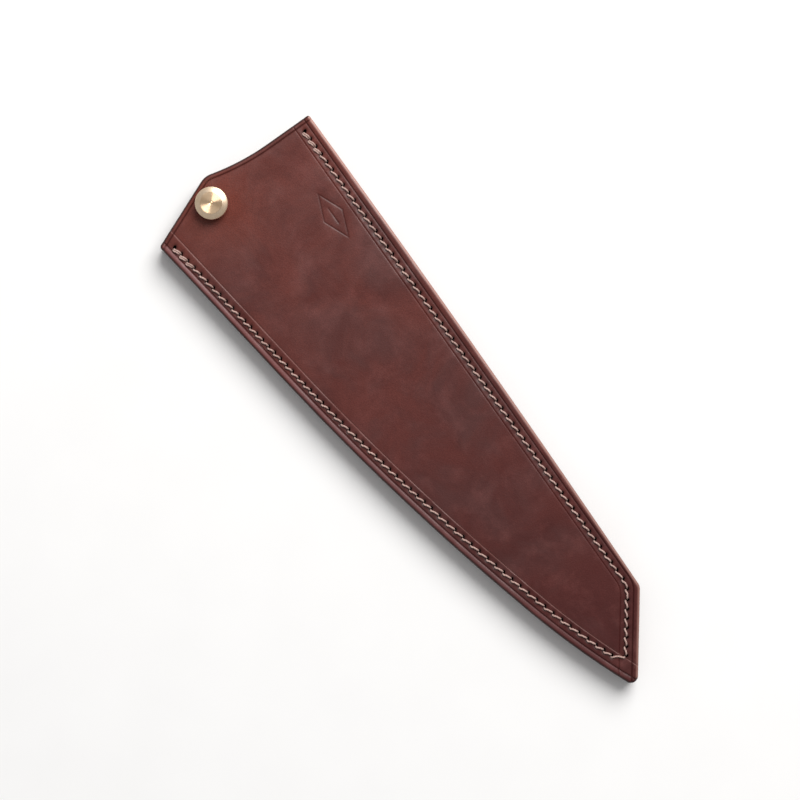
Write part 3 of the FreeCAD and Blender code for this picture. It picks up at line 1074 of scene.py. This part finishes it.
def turnedBrass(name, part):
    # Tool marks run round the pin, and so does the stretched gloss
    f = Finish(name)
    centre = np.append((np.array(panel["pin"]) - middle) * mm, 0.0)
    away = f.node("ShaderNodeVectorMath", operation="SUBTRACT")
    f.links.new(f.place, away.inputs[0])
    away.inputs[1].default_value = centre.tolist()
    split = f.node("ShaderNodeSeparateXYZ")
    f.links.new(away.outputs[0], split.inputs[0])
    x, y = split.outputs["X"], split.outputs["Y"]
    radius = f.sum(f.sum(f.sum(x, 2.0, "POWER"), f.sum(y, 2.0, "POWER")), 0.5, "POWER")
    join = f.node("ShaderNodeCombineXYZ")
    f.links.new(radius, join.inputs[0])
    f.links.new(split.outputs["Z"], join.inputs[1])
    rings = f.node("ShaderNodeTexNoise")
    f.links.new(join.outputs[0], rings.inputs["Vector"])
    rings.inputs["Scale"].default_value = brass["toolMarks"]
    rings.inputs["Detail"].default_value = brass["markDetail"]
    tarnish = f.mask(*brass["tarnish"])
    colour = f.mix(tarnish, linear(*part["pale"]), linear(*part["dull"]))
    rough = f.spread(tarnish, 0, 1, part["rough"], part["rough"] + brass["dullRough"])
    f.wear(colour, rough, metal=1.0, stretch=part["stretch"], turn=brass["turn"])
    tangent = f.node("ShaderNodeTangent", direction_type="RADIAL", axis="Z")
    f.links.new(tangent.outputs[0], f.shader.inputs["Tangent"])
    f.bump(rings.outputs["Fac"], *brass["grain"])
    return f.material


def paint(obj, *materials):
    obj.data.materials.clear()
    for material in materials:
        obj.data.materials.append(material)


waxed, flesh = waxedLeather(), suede()
for obj, sign, inner in ((frontLeather, 1, leather["pocketRoof"]), (backLeather, -1, leather["pocketFloor"])):
    paint(obj, waxed, flesh)
    for face in obj.data.polygons:
        if face.normal.z * sign < -0.9 and abs(face.center.z - inner * mm) < 1e-5:
            face.material_index = 1
burnishedWelt, waxedYarn = weltLeather(), waxedThread()
for name in ("spine_welt", "tip_welt", "edge_welt"):
    paint(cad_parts[name], burnishedWelt)
paint(spineThread, waxedYarn)
paint(edgeThread, waxedYarn)
paint(brassPin, turnedBrass("turnedBrass", brass["sides"]), turnedBrass("facedBrass", brass["top"]))
for face in brassPin.data.polygons:
    if face.center.z > pin["faced"] * mm:
        face.material_index = 1
print("finishes on")


# Floor and light
studio = {
    "floor": (0.9, 0.9, 0.9, 1.0), "floorShade": (0.885, 0.885, 0.885, 1.0),
    "floorClouds": (30, 2, 0.5, 0.3, 0.7),
    "floorRough": 0.9, "floorGloss": 0.1, "floorReach": 3.0, "floorLevel": -0.0001,  # metres
    "roomColour": (1.0, 1.0, 1.0, 1.0), "ambient": 0.33,
    "keyAzimuth": 62.0, "keyElevation": 47.0, "keyAway": 2.2, "keySize": 1.7, "keyPower": 59.0,
    "keyColour": (1.0, 0.985, 0.97),
    "sheenPlace": (-0.62, 0.20, 1.25), "sheenSize": 0.8, "sheenPower": 1.2,
}


def addLamp(name, place, size, power, colour=(1.0, 1.0, 1.0)):
    # A round lamp that points at the sheath
    data = bpy.data.lights.new(name, "AREA")
    data.shape = "DISK"
    data.size = size
    data.energy = power
    data.color = colour
    obj = bpy.data.objects.new(name, data)
    obj.location = place
    x, y, z = place
    obj.rotation_euler = (math.atan2(math.hypot(x, y), z), 0.0, math.atan2(y, x) + math.pi / 2)
    scene.collection.objects.link(obj)


def makeStudio():
    mesh = bpy.data.meshes.new("tableTop")
    reach, level = studio["floorReach"], studio["floorLevel"]
    corners = [(-reach, -reach, level), (reach, -reach, level), (reach, reach, level), (-reach, reach, level)]
    mesh.from_pydata(corners, [], [(0, 1, 2, 3)])
    table = bpy.data.objects.new("tableTop", mesh)
    scene.collection.objects.link(table)
    f = Finish("paleTable")
    colour = f.mix(f.mask(*studio["floorClouds"]), studio["floor"], studio["floorShade"])
    f.wear(colour, studio["floorRough"], specular=studio["floorGloss"])
    paint(table, f.material)
    world = bpy.data.worlds.new("softRoom")
    world.use_nodes = True
    room = world.node_tree.nodes["Background"]
    room.inputs["Color"].default_value = studio["roomColour"]
    room.inputs["Strength"].default_value = studio["ambient"]
    scene.world = world
    turn = math.radians(studio["keyAzimuth"] + camera["turn"])
    rise = math.radians(studio["keyElevation"])
    far = studio["keyAway"]
    key = (far * math.cos(rise) * math.cos(turn), far * math.cos(rise) * math.sin(turn), far * math.sin(rise))
    addLamp("keyLight", key, studio["keySize"], studio["keyPower"], studio["keyColour"])
    addLamp("sheenLight", studio["sheenPlace"], studio["sheenSize"], studio["sheenPower"])


makeStudio()
scene.view_settings.view_transform = "Standard"
print("studio lit")
